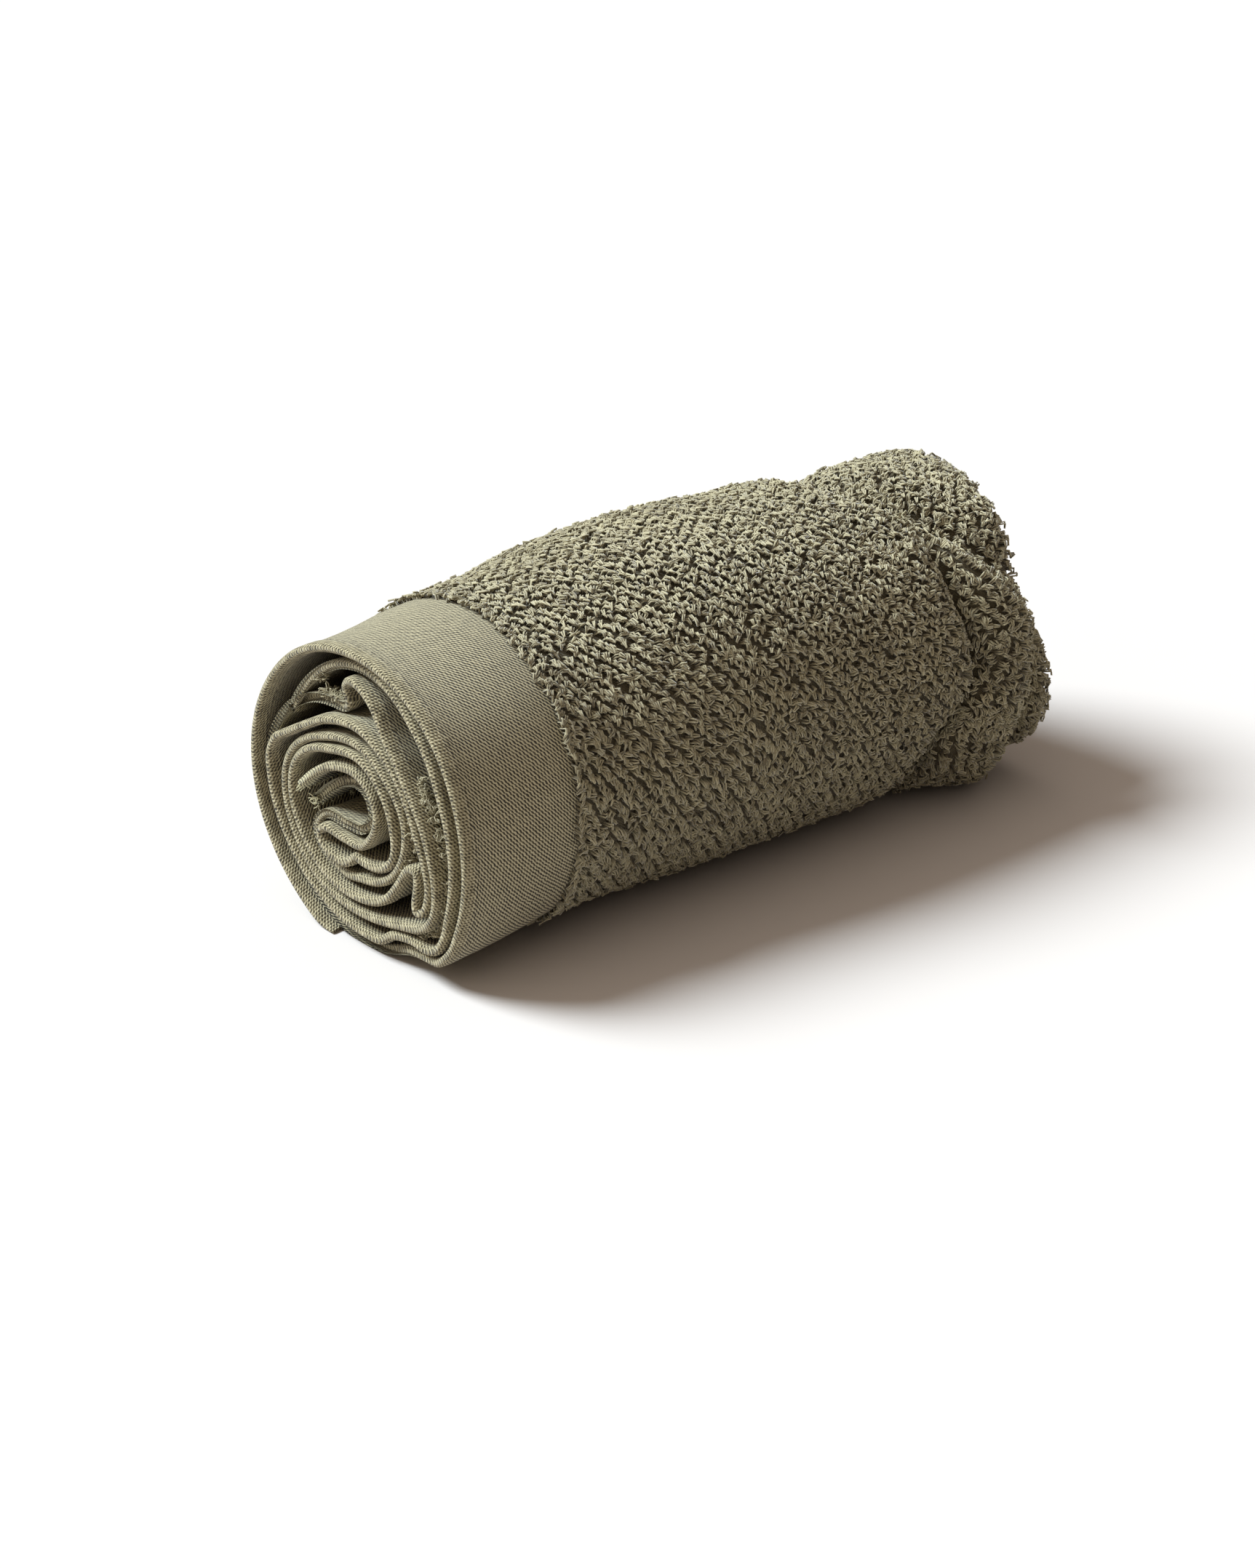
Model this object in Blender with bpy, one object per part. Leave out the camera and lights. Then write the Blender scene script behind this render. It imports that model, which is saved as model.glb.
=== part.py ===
"""A face towel of cotton terry, folded in half and rolled up.

The towel is one rectangle of cloth. Its two hemmed ends, each with a flat woven band, lie one on
the other at the roll's near end, and the fold between them is at the far end. Rolled up from a side
edge, the doubled cloth makes a hook at the heart of the roll and then three turns. Both layers are
modelled, as one closed solid, with the pleats and creases that show where the bands end.

The frame: X runs along the roll, from the hems to the fold. Z is up, and the roll rests on Z = 0.
A cross-section is drawn in millimetres as seen from the hems, W to the right (-Y) and Z up.
"""

import math

import bpy
import numpy as np

MM = 0.001

# Driving sizes, in millimetres
BAND_WIDTH = 27.0
BAND_THICK = 1.5
HEM_THICK = 1.7
TERRY_THICK = 2.9
PILE_HEIGHT = 1.3
FOLD_HALF_GAP = 2.05
FAR_TURN_PITCH = 8.4
NEAR_CENTRE_HEIGHT = 31.2
BODY_CENTRE_HEIGHT = 34.9
FLAT_SPOT = 2.6

# Where along X the loose turns at the hems have grouped into the even turns of the body, where the
# cloth has its full thickness, and where both layers have come level round the roll
REGROUPED = (4.0, 50.0)
THICKENED = (34.0, 74.0)
LAG_SETTLES = 120.0

# Rows of points along X: those of the opening folds, then those of the body
FOLD_ROWS = (6.0, 12.0)
BODY_ROWS = (50.0, 80.0)
BAND_EDGE = (-0.5, 3.0)
GATHER_ROWS = (
    # from the gather's middle, least distance from the fold's tip
    (-8.0, 22.0), (0.0, 14.5), (8.0, 9.5),
)
FOLD_BEND = (50, 0, -50)

# How much thinner the tightly wound heart is, and how short a step may get inside a bend
TIGHT_HEART = 0.7
TIGHT_PLACES = (-0.3, 0.4)
SHORTEST_INNER_STEP = 0.22
ROUNDED_RIM = 0.55
OUTERMOST_PLACES = (1.9, 2.02)

# How finely the cloth is divided along its winding
LONGEST_STEP = 12.5
WIDEST_BEND = 31.0

# The heart of the roll, from the side edge that was turned in first. Each row is a place on the
# cloth: the rims of the inner and the outer layer, and the middle of the two at the fold.
HEART = (
    # inner_w, inner_z, outer_w, outer_z, fold_w, fold_z
    (-18.8, -1.6, -16.4, -4.6, -9.5, 4.3),
    (-15.0, 1.9, -13.0, -1.3, -6.3, 4.3),
    (-10.4, 4.9, -8.9, 1.7, -3.1, 4.3),
    (-5.0, 6.4, -4.7, 3.3, 0.0, 4.2),
    (-0.8, 6.0, -1.6, 3.1, 3.0, 2.9),
    (2.6, 3.7, 0.4, 1.7, 4.2, 0.0),
    (4.4, -0.2, 1.5, -0.7, 3.0, -2.9),
    (3.2, -4.6, 1.0, -3.1, 0.0, -4.2),
    (-0.6, -8.3, -1.8, -5.6, -3.6, -4.3),
    (-6.0, -8.6, -6.6, -6.0, -7.6, -4.3),
    (-11.6, -8.3, -12.6, -6.0, -10.8, -5.4),
    (-13.7, -9.9, -16.0, -9.0, -12.1, -8.4),
    (-12.9, -12.0, -15.2, -12.6, -10.8, -11.4),
    (-10.2, -13.3, -12.0, -14.9, -7.8, -12.6),
    (-6.9, -13.9, -7.0, -16.4, -5.6, -12.8),
    (-4.6, -13.0, -3.6, -16.1, -3.7, -12.8),
    (-2.4, -11.2, -1.6, -15.6, -1.8, -12.7),
)
HEART_STEP = 1 / 16

# The turns around the heart, counted from straight below: how far each layer's rim lies from the
# middle of the roll in eight directions, one row for each turn.
STEPS = 8
INNER_RIM = (
    # S, SE, E, NE, N, NW, W, SW
    (11.5, 12.1, 9.2, 8.5, 9.8, 12.8, 21.7, 21.7),
    (19.2, 16.0, 17.0, 14.9, 16.1, 18.9, 28.5, 26.3),
    (26.2, 27.5, 26.9, 25.6, 27.9, 26.6, 26.0, 26.0),
)
OUTER_RIM = (
    (15.3, 14.0, 12.7, 11.0, 12.1, 15.5, 24.0, 24.3),
    (22.3, 26.0, 19.7, 17.6, 19.8, 22.2, 31.0, 29.0),
    (29.1, 33.0, 31.7, 31.3, 30.8, 32.2, 33.7, 32.0),
)
FOLD_FIRST_TURN = (12.7, 12.8, 12.7, 12.8, 13.2, 16.7, 20.8, 23.8)

# Folds in the rims, in rows of place along the turns, direction in degrees (0 is W, 90 is up) and
# reach from the middle. The inner layer has a pleat doubled over at the lower right, a sharp corner
# at the left and two creases below. The outer one bulges round the pleat, and has a tuck on top.
INNER_PLEAT = (
    # place, direction, reach
    (1.05, -71, 18.3), (1.11, -47, 16.3), (1.140, -34, 15.9), (1.158, -27, 16.5),
    (1.172, -24.8, 18.2), (1.186, -30.5, 19.6), (1.198, -39, 21.0), (1.212, -43.2, 22.7),
    (1.228, -38.5, 24.0), (1.245, -28, 23.0), (1.27, -14, 19.8), (1.295, -2, 17.3),
    (1.33, 20, 15.4),
)
INNER_CREASES = (
    (1.60, 126, 18.1), (1.66, 148, 20.8), (1.70, 161, 24.2), (1.72, 167, 26.6),
    (1.745, 174, 28.0), (1.79, 186, 28.0),
    (2.04, -77, 26.2), (2.058, -71, 25.2), (2.085, -63, 25.5), (2.12, -54, 27.6),
    (2.14, -49.5, 29.7), (2.158, -44.5, 31.0), (2.185, -36, 30.6), (2.215, -26, 29.1),
)
OUTER_TUCK = (
    (1.42, 68, 19.4), (1.445, 80, 22.6), (1.47, 91, 24.6), (1.49, 98.5, 24.9),
    (1.506, 102.8, 23.7), (1.520, 103.6, 22.2), (1.536, 103.6, 20.8), (1.551, 105.5, 19.7),
    (1.568, 109, 19.4), (1.59, 113, 19.6), (1.615, 119, 20.6),
)
OUTER_CREASES = (
    (1.04, -75, 22.4), (1.09, -58, 23.8), (1.125, -47, 25.8), (1.155, -39, 26.6),
    (1.185, -30, 26.1), (1.22, -19, 24.2), (1.25, -7, 21.9), (1.285, 8, 19.7),
    (2.05, -72, 28.3), (2.08, -63, 28.6), (2.11, -54, 30.7), (2.135, -47, 33.0),
    (2.155, -40, 33.5), (2.20, -27, 32.9),
)
FOLD_RUN = 0.09

# Inside the roll a doubled fold opens out, first along the turn and then in its depth
OPENS_ALONG = (2.0, 18.0)
OPENS_ACROSS = (3.0, 21.0)

# The cloth ends after almost three turns. At the hems the inner layer ends further back, by this
# many degrees, and at the far end both end together.
LAST_PLACE = 2.92
LAG_FROM = 1.95
LAG_GROWTH = 1.6
INNER_LAG = 102.0
SHARED_LAG = 51.0

# How far each rim sits back from the foremost one, and where the fold lies at the far end: its
# tip along X, and how far the cloth flares outwards there.
SET_BACK = (
    # place, inner_rim, outer_rim
    (-1.1, 0.0, 3.0), (-0.5, 0.5, 2.5), (0.0, 0.5, 1.0), (0.5, 0.0, 0.5), (1.0, 0.3, 0.3),
    (1.5, 0.0, 0.8), (1.62, 0.0, 3.0), (1.75, -0.5, 4.0), (2.0, 0.3, 3.5), (2.12, 0.3, 1.0),
    (2.25, 0.4, 0.0), (2.5, 1.2, 0.0), (2.92, 2.5, 0.0),
)
FAR_END = (
    # place, tip_x, flare, flare_from_x, flare_full_x
    (-1.1, 146.0, 0.0, 126.0, 146.0), (0.0, 148.0, 0.0, 128.0, 148.0),
    (0.6, 151.0, 0.5, 131.0, 151.0), (0.9, 153.0, 1.0, 133.0, 153.0),
    (1.0, 154.0, 1.6, 134.0, 154.0), (1.05, 155.0, 3.8, 135.0, 155.0),
    (1.11, 155.0, 8.0, 135.0, 155.0), (1.17, 154.5, 8.2, 134.5, 154.5),
    (1.24, 153.0, 4.5, 133.0, 153.0), (1.30, 150.5, 1.2, 130.5, 150.5),
    (1.36, 150.5, 2.2, 130.5, 150.5), (1.42, 151.5, 5.0, 130.0, 148.0),
    (1.48, 152.5, 6.3, 124.0, 141.0), (1.54, 153.0, 7.4, 119.0, 135.5),
    (1.62, 152.5, 7.6, 117.5, 134.0), (1.72, 152.0, 6.8, 121.5, 139.0),
    (1.80, 151.5, 5.5, 126.0, 146.0), (1.87, 151.0, 4.0, 131.0, 151.0),
    (1.95, 151.0, 2.2, 131.0, 151.0), (2.0, 151.0, 1.7, 131.0, 151.0),
    (2.05, 148.0, 2.6, 128.0, 148.0), (2.1, 144.0, 3.8, 124.0, 144.0),
    (2.15, 141.0, 4.2, 121.0, 141.0), (2.2, 140.5, 3.6, 120.5, 140.5),
    (2.27, 143.5, 2.6, 123.5, 143.5), (2.34, 144.5, 2.0, 124.5, 144.5),
    (2.42, 135.5, 1.0, 115.5, 135.5), (2.485, 127.0, 0.8, 107.0, 127.0),
    (2.55, 120.5, 0.8, 100.5, 120.5), (2.65, 117.5, 0.8, 97.5, 117.5),
    (2.75, 120.5, 0.5, 100.5, 120.5), (2.92, 126.0, 0.0, 106.0, 126.0),
)

# How the roll's girth varies along it: drawn in behind the bands, full in the middle, and tapering
ROLL_SIZE = (
    # x, scale
    (0, 1.0), (22, 0.995), (27, 0.985), (33, 0.963), (42, 0.955), (50, 0.966), (58, 0.981),
    (68, 0.987), (78, 0.989), (90, 0.980), (105, 0.961), (117, 0.942), (125, 0.938), (160, 0.938),
)

# A soft gather round the front of the roll, ahead of the fold and deepest low down
GATHER_WIDTH = 4.2
GATHER_REACH = 33.0
GATHER = (
    # direction, x, depth
    (-180, 118.0, 0.0), (-84, 118.0, 0.0), (-62, 120.0, 2.4), (-42, 123.0, 4.2),
    (-25, 125.5, 4.5), (-8, 128.0, 3.8), (5, 127.5, 3.2), (22, 126.0, 2.6), (45, 125.0, 1.5),
    (68, 126.0, 0.0), (180, 126.0, 0.0),
)


def curve_through(places, rows, at):
    """Rows of values read at any place, on a smooth curve through the rows given."""
    places, rows, at = np.array(places), np.array(rows, float), np.atleast_1d(at)
    gaps = np.diff(places)[:, None]
    slopes = np.diff(rows, axis=0) / gaps
    tangents = np.empty_like(rows)
    tangents[0], tangents[-1] = slopes[0], slopes[-1]
    tangents[1:-1] = (slopes[:-1] * gaps[1:] + slopes[1:] * gaps[:-1]) / (gaps[1:] + gaps[:-1])
    i = np.clip(np.searchsorted(places, at, side="right") - 1, 0, len(places) - 2)
    gap = gaps[i]
    t = (at - places[i])[:, None] / gap
    start = (2 * t**3 - 3 * t**2 + 1) * rows[i] + (t**3 - 2 * t**2 + t) * gap * tangents[i]
    return start + (3 * t**2 - 2 * t**3) * rows[i + 1] + (t**3 - t**2) * gap * tangents[i + 1]


def ramp(start, end, x):
    """0 before start, 1 after end, and a soft rise between them."""
    t = np.clip((x - start) / (end - start), 0.0, 1.0)
    return t * t * (3 - 2 * t)


def turn_rows(turns, folds):
    """Place, direction (in radians, always counted on) and reach. Fold rows replace turn rows."""
    rows = []
    for place, direction, reach in folds:
        whole = round(place - 0.25 - direction / 360)
        rows.append((place, math.radians(direction + 360 * whole), reach))
    fold_places = [row[0] for row in folds]
    for turn, reaches in enumerate(turns):
        for step, reach in enumerate(reaches):
            place = turn + step / STEPS
            before = max((p for p in fold_places if p <= place), default=-9)
            after = min((p for p in fold_places if p >= place), default=9)
            near_a_fold = min(place - before, after - place) < FOLD_RUN / 3
            if not near_a_fold and after - before >= FOLD_RUN:
                rows.append((place, math.radians(360 * place - 90), reach))
    return sorted(rows)


def winding(heart, turns, folds):
    """The path of one layer: its points, and their directions, for places along the cloth."""
    rows = turn_rows(turns, folds)
    places = [row[0] for row in rows]
    polar = [row[1:] for row in rows]
    first = curve_through(places, polar, [0.0, HEART_STEP, 2 * HEART_STEP])
    first_points = [(r * math.cos(a), r * math.sin(a)) for a, r in first]
    heart_places = [HEART_STEP * (i - len(heart)) for i in range(len(heart) + 3)]
    heart_points = list(heart) + first_points

    def at(place, full_lag=0.0):
        wound = np.clip((place - LAG_FROM) / (LAST_PLACE - LAG_FROM), 0.0, 1.0)
        in_turns = curve_through(places, polar, place - full_lag / 360 * wound**LAG_GROWTH)
        turn_points = in_turns[:, 1:] * np.c_[np.cos(in_turns[:, 0]), np.sin(in_turns[:, 0])]
        in_heart = curve_through(heart_places, heart_points, np.minimum(place, 0.0))
        return np.where(place[:, None] < 0, in_heart, turn_points), in_turns[:, 0]

    return at


FIRST_PLACE = -HEART_STEP * len(HEART)
inner_rim = winding([row[0:2] for row in HEART], INNER_RIM, INNER_PLEAT + INNER_CREASES)
inner_opened = winding([row[0:2] for row in HEART], INNER_RIM, INNER_CREASES)
outer_rim = winding([row[2:4] for row in HEART], OUTER_RIM, OUTER_TUCK + OUTER_CREASES)
outer_opened = winding([row[2:4] for row in HEART], OUTER_RIM, OUTER_CREASES)
fold_turns = [[r + FAR_TURN_PITCH * turn for r in FOLD_FIRST_TURN] for turn in range(4)]
fold_line = winding([row[4:6] for row in HEART], fold_turns, ())


def outward(points):
    """The way the outer layer faces, square to a path in the cross-section."""
    along = np.gradient(points, axis=0)
    along /= np.linalg.norm(along, axis=1)[:, None]
    return np.c_[along[:, 1], -along[:, 0]]


def face_of_layer(middle, half, facing):
    """One face of a layer. Inside a tight bend the cloth is squeezed thinner, to stay in order."""
    out = outward(middle) * facing
    along = np.diff(middle, axis=0)
    length = np.sum(along * along, axis=1)
    half = half.copy()
    for _ in range(30):
        skin = middle + out * half[:, None]
        tight = np.sum(np.diff(skin, axis=0) * along, axis=1) < SHORTEST_INNER_STEP * length
        half[:-1][tight] *= 0.85
        half[1:][tight] *= 0.85
    return middle + out * half[:, None]


def between(place, first, second, along, across):
    """Between two sections. The turns go round as they grow, and the heart goes straight."""
    (first_points, first_angle), (second_points, second_angle) = first, second
    first_reach = np.linalg.norm(first_points, axis=1)
    second_reach = np.linalg.norm(second_points, axis=1)
    angle = first_angle + along * (second_angle - first_angle)
    reach = first_reach + across * (second_reach - first_reach)
    round_the_roll = reach[:, None] * np.c_[np.cos(angle), np.sin(angle)]
    straight = first_points + across[:, None] * (second_points - first_points)
    return np.where(place[:, None] < 0, straight, round_the_roll), angle


def stations():
    """Places along the cloth, closer together where either layer bends."""
    fine = np.linspace(FIRST_PLACE, LAST_PLACE, 6000)
    cost = np.zeros(len(fine) - 1)
    for path in (inner_rim, outer_rim, fold_line):
        step = np.diff(path(fine)[0], axis=0)
        heading = np.unwrap(np.arctan2(step[:, 1], step[:, 0]))
        bend = np.abs(np.gradient(heading)) / math.radians(WIDEST_BEND)
        length = np.linalg.norm(step, axis=1) / LONGEST_STEP
        cost = np.maximum(cost, np.hypot(bend, length))
    travelled = np.r_[0.0, np.cumsum(cost)]
    count = math.ceil(travelled[-1])
    return np.interp(np.linspace(0.0, travelled[-1], count + 1), travelled, fine)


def gather_at(direction):
    """Where the gather lies along X, and how deep it is, in a direction in degrees."""
    found = curve_through([r[0] for r in GATHER], [r[1:] for r in GATHER], direction)
    return found[:, 0], np.maximum(found[:, 1], 0.0)


def cloth_points():
    """The rolled cloth as rings of points, one ring round the doubled layers at each station."""
    place = stations()
    set_back = curve_through([r[0] for r in SET_BACK], [r[1:] for r in SET_BACK], place)
    far_end = curve_through([r[0] for r in FAR_END], [r[1:] for r in FAR_END], place)
    tip, flare, flare_from, flare_full = far_end.T
    squeeze = TIGHT_HEART + (1 - TIGHT_HEART) * ramp(*TIGHT_PLACES, place)
    half_gap = FOLD_HALF_GAP * squeeze
    half_terry = TERRY_THICK / 2 * squeeze
    bend_x = tip - half_gap - half_terry
    pile = PILE_HEIGHT * ramp(*OUTERMOST_PLACES, place)
    sides = {
        "outer": (outer_rim, outer_opened, set_back[:, 1], 1.0, 0.0),
        "inner": (inner_rim, inner_opened, set_back[:, 0], -1.0, INNER_LAG),
    }

    def settled(x, section):
        """A section's points put in the roll: flared at the far end, and at their height."""
        reach = np.linalg.norm(section, axis=1)
        swell = flare * ramp(flare_from, flare_full, x)
        gather_x, depth = gather_at(np.degrees(np.arctan2(section[:, 1], section[:, 0])))
        drawn_in = 1 - depth / GATHER_REACH * np.exp(-((x - gather_x) / GATHER_WIDTH) ** 2)
        section = section * ((reach + swell) / np.maximum(reach, 1.0) * drawn_in)[:, None]
        rise = ramp(0.0, REGROUPED[1], x)
        height = NEAR_CENTRE_HEIGHT + rise * (BODY_CENTRE_HEIGHT - NEAR_CENTRE_HEIGHT)
        scale = np.interp(x, [r[0] for r in ROLL_SIZE], [r[1] for r in ROLL_SIZE])
        return np.c_[x, -section[:, 0] * scale, (section[:, 1] + height) * scale]

    def layer_skin(side, face):
        """One face of a layer, from its hem to where the fold begins."""
        rim, opened, back, sign, rim_lag = sides[side]
        rows = []
        hem_x = [back, back + HEM_THICK / 2]
        body_x = [BAND_WIDTH + step for step in BAND_EDGE] + list(BODY_ROWS)
        body_x = [np.full_like(tip, x) for x in list(FOLD_ROWS) + body_x]
        gather_x = gather_at((360 * place + 90) % 360 - 180)[0]
        far_x = [np.minimum(gather_x + step, tip - least) for step, least in GATHER_ROWS]
        far_x += [(far_x[-1] + bend_x) / 2, bend_x]
        for number, x in enumerate(hem_x + body_x + far_x):
            share = ramp(*REGROUPED, x)
            lag = rim_lag + (SHARED_LAG - rim_lag) * np.minimum(x / LAG_SETTLES, 1.0)
            fold_points, fold_angle = fold_line(place, lag)
            far_points = fold_points + outward(fold_points) * (half_gap * sign)[:, None]
            eased = between(place, rim(place, lag), opened(place, lag),
                            ramp(*OPENS_ALONG, x), ramp(*OPENS_ACROSS, x))
            middle = between(place, eased, (far_points, fold_angle), share, share)[0]
            half = BAND_THICK / 2 + ramp(*THICKENED, x) * (half_terry - BAND_THICK / 2)
            if number < len(hem_x):
                half = half + (HEM_THICK - BAND_THICK) / 2
            if number == 0:
                half = ROUNDED_RIM * half
            if side == "outer" and face > 0:
                half = np.where(x > BAND_WIDTH, half + pile, half)
            rows.append(settled(x, face_of_layer(middle, half, face)))
        return rows

    def bend_skin(radius, raised):
        """The fold at the far end, from the outer layer round to the inner one."""
        rows = []
        fold_points = fold_line(place, SHARED_LAG)[0]
        for degrees in FOLD_BEND:
            angle = math.radians(degrees)
            lift = radius * math.sin(angle) + raised * ramp(FOLD_BEND[-1], 90, degrees)
            section = fold_points + outward(fold_points) * lift[:, None]
            rows.append(settled(bend_x + radius * math.cos(angle), section))
        return rows

    outside = layer_skin("outer", 1.0) + bend_skin(half_gap + half_terry, pile)
    outside += layer_skin("inner", -1.0)[::-1]
    inside = layer_skin("outer", -1.0) + bend_skin(half_gap - half_terry, 0.0)
    inside += layer_skin("inner", 1.0)[::-1]
    return np.stack(outside + inside[::-1], axis=1)


def flattened(points):
    """The cloth's own weight flattens what touches the surface."""
    z = points[:, :, 2]
    z[:] = np.maximum(z, z.min() + FLAT_SPOT)
    return points


def towel_mesh(points):
    """Skin between the stations, and a strip of faces over each side edge of the cloth."""
    count, ring = points.shape[:2]
    rail = ring // 2
    middle = (points.min(axis=(0, 1)) + points.max(axis=(0, 1))) / 2
    points = points - (middle[0], middle[1], points[:, :, 2].min())
    faces = []
    for s in range(count - 1):
        for j in range(ring):
            a, b = s * ring + j, s * ring + (j + 1) % ring
            # Every skin is divided the same way, from the hem to the fold, so none cuts another
            if j % rail < rail // 2:
                faces += [(a, b, b + ring), (a, b + ring, a + ring)]
            else:
                faces += [(a, b, a + ring), (b, b + ring, a + ring)]
    for s, turned in ((0, True), (count - 1, False)):
        for j in range(rail - 1):
            quad = (s * ring + j, s * ring + j + 1, (s + 1) * ring - 2 - j, (s + 1) * ring - 1 - j)
            faces.append(quad[::-1] if turned else quad)
    mesh = bpy.data.meshes.new("towel_roll")
    mesh.from_pydata((points.reshape(-1, 3) * MM).tolist(), [], faces)
    mesh.validate()
    return mesh


def terry_material():
    """Olive cotton, matt and soft."""
    material = bpy.data.materials.new("olive cotton terry")
    material.use_nodes = True
    shader = material.node_tree.nodes["Principled BSDF"]
    shader.inputs["Base Color"].default_value = (0.190, 0.175, 0.110, 1.0)
    shader.inputs["Roughness"].default_value = 0.95
    shader.inputs["Metallic"].default_value = 0.0
    material.diffuse_color = (0.190, 0.175, 0.110, 1.0)
    return material


def make_towel():
    """The rolled towel, as one object."""
    mesh = towel_mesh(flattened(cloth_points()))
    towel = bpy.data.objects.new("towel_roll", mesh)
    bpy.context.scene.collection.objects.link(towel)
    towel.data.materials.append(terry_material())
    towel.data.shade_smooth()
    towel.data.set_sharp_from_angle(angle=math.radians(60))
    return towel


for left_over in list(bpy.data.objects):
    bpy.data.objects.remove(left_over)
make_towel()
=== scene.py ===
import math

import bpy
import numpy as np
from mathutils import Matrix, Vector


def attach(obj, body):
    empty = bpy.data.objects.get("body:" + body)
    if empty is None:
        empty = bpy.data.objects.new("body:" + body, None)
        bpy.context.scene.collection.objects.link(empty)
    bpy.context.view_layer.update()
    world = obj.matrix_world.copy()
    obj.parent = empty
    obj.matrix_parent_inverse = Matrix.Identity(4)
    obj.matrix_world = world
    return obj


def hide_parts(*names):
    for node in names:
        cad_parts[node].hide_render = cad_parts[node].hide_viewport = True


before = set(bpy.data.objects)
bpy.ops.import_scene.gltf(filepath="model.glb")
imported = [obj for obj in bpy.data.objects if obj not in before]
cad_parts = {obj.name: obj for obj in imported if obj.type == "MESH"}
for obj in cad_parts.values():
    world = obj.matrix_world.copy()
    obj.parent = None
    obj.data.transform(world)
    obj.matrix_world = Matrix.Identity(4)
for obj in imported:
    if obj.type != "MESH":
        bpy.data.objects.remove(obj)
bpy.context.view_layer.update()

# The cloth: one towel of looped cotton, 30 by 50 cm, with a flat woven band and a turned hem at
# each end. It is folded in half, so that both hems come to the near end, and rolled up by hand
# from a side edge; nothing but the winding holds it.
#
# Each layer is wound on its own path at the hems, and inside the two group into even turns. A
# section is in millimetres from the roll's axis as seen from the hems, W to the right (-Y) and Z
# up. A place counts turns along the cloth from where the heart ends, X runs in from the hems, and
# directions are in degrees from W.
MM = 0.001
BAND_WIDTH, BAND_THICK, HEM_THICK, TERRY_THICK = 27.0, 1.5, 1.9, 3.0
FOLD_HALF_GAP, FAR_TURN_PITCH, FAR_TURNS = 2.05, 8.4, 4
NEAR_CENTRE_HEIGHT, BODY_CENTRE_HEIGHT = 31.2, 34.9
ROLL_MIDDLE_X, ROLL_MIDDLE_W, FLOOR, PRESSED = 77.29, -3.85, 1.81, 0.4
# Along X: where the turns regroup, where the hem steps down to the band, where the cloth thickens
# to terry, where the layers have slid to their shared lag, and where the folds in the rims open
REGROUPED, HEM_ENDS, THICKENED, LAG_SETTLES = (4.0, 50.0), (3.2, 4.0), (34.0, 74.0), 120.0
OPENS_ALONG, OPENS_ACROSS = (2.0, 18.0), (3.0, 21.0)
# The heart is wound tighter, up to these places
TIGHT_HEART, TIGHT_PLACES = 0.7, (-0.3, 0.4)
# Over the last turn the inner layer falls behind the outer one at the hems, by degrees, and
# further in the two share the lag
LAST_PLACE, LAG_FROM, LAG_GROWTH, INNER_LAG, SHARED_LAG = 2.92, 1.95, 1.6, 102.0, 51.0
# The side edge is tucked on under the roll by this much of a turn
END_TUCK = 0.035

# The heart: the hook that both layers start with, from the side edge on
HEART = (
    # inner_w, inner_z, outer_w, outer_z, fold_w, fold_z
    (-18.8, -1.6, -16.4, -4.6, -9.5, 4.3),
    (-15.0, 1.9, -13.0, -1.3, -6.3, 4.3),
    (-10.4, 4.9, -8.9, 1.7, -3.1, 4.3),
    (-5.0, 6.4, -4.7, 3.3, 0.0, 4.2),
    (-0.8, 6.0, -1.6, 3.1, 3.0, 2.9),
    (2.6, 3.7, 0.4, 1.7, 4.2, 0.0),
    (4.4, -0.2, 1.5, -0.7, 3.0, -2.9),
    (3.2, -4.6, 1.0, -3.1, 0.0, -4.2),
    (-0.6, -8.3, -1.8, -5.6, -3.6, -4.3),
    (-6.0, -8.6, -6.6, -6.0, -7.6, -4.3),
    (-11.6, -8.3, -12.6, -6.0, -10.8, -5.4),
    (-13.7, -9.9, -16.0, -9.0, -12.1, -8.4),
    (-12.9, -12.0, -15.2, -12.6, -10.8, -11.4),
    (-10.2, -13.3, -12.0, -14.9, -7.8, -12.6),
    (-6.9, -13.9, -7.0, -16.4, -5.6, -12.8),
    (-4.6, -13.0, -3.6, -16.1, -3.7, -12.8),
    (-2.4, -11.2, -1.6, -15.6, -1.8, -12.7),
)
HEART_STEP = 1 / 16
FIRST_PLACE = -HEART_STEP * len(HEART)
# The turns: how far each layer is from the axis in eight directions
STEPS = 8
INNER_RIM = (
    # reach in the directions S, SE, E, NE, N, NW, W, SW, a row for each turn
    (11.5, 12.1, 9.2, 8.5, 9.8, 12.8, 21.7, 21.7),
    (19.2, 16.0, 17.0, 14.9, 16.1, 18.9, 28.5, 26.3),
    (26.2, 27.5, 26.9, 25.6, 27.9, 26.6, 26.0, 26.0),
)
OUTER_RIM = (
    (15.3, 14.0, 12.7, 11.0, 12.1, 15.5, 24.0, 24.3),
    (22.3, 26.0, 19.7, 17.6, 19.8, 22.2, 31.0, 29.0),
    (29.1, 33.0, 31.7, 31.3, 30.8, 32.2, 33.7, 32.0),
)
FOLD_FIRST_TURN = (12.7, 12.8, 12.7, 12.8, 13.2, 16.7, 20.8, 23.8)
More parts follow.
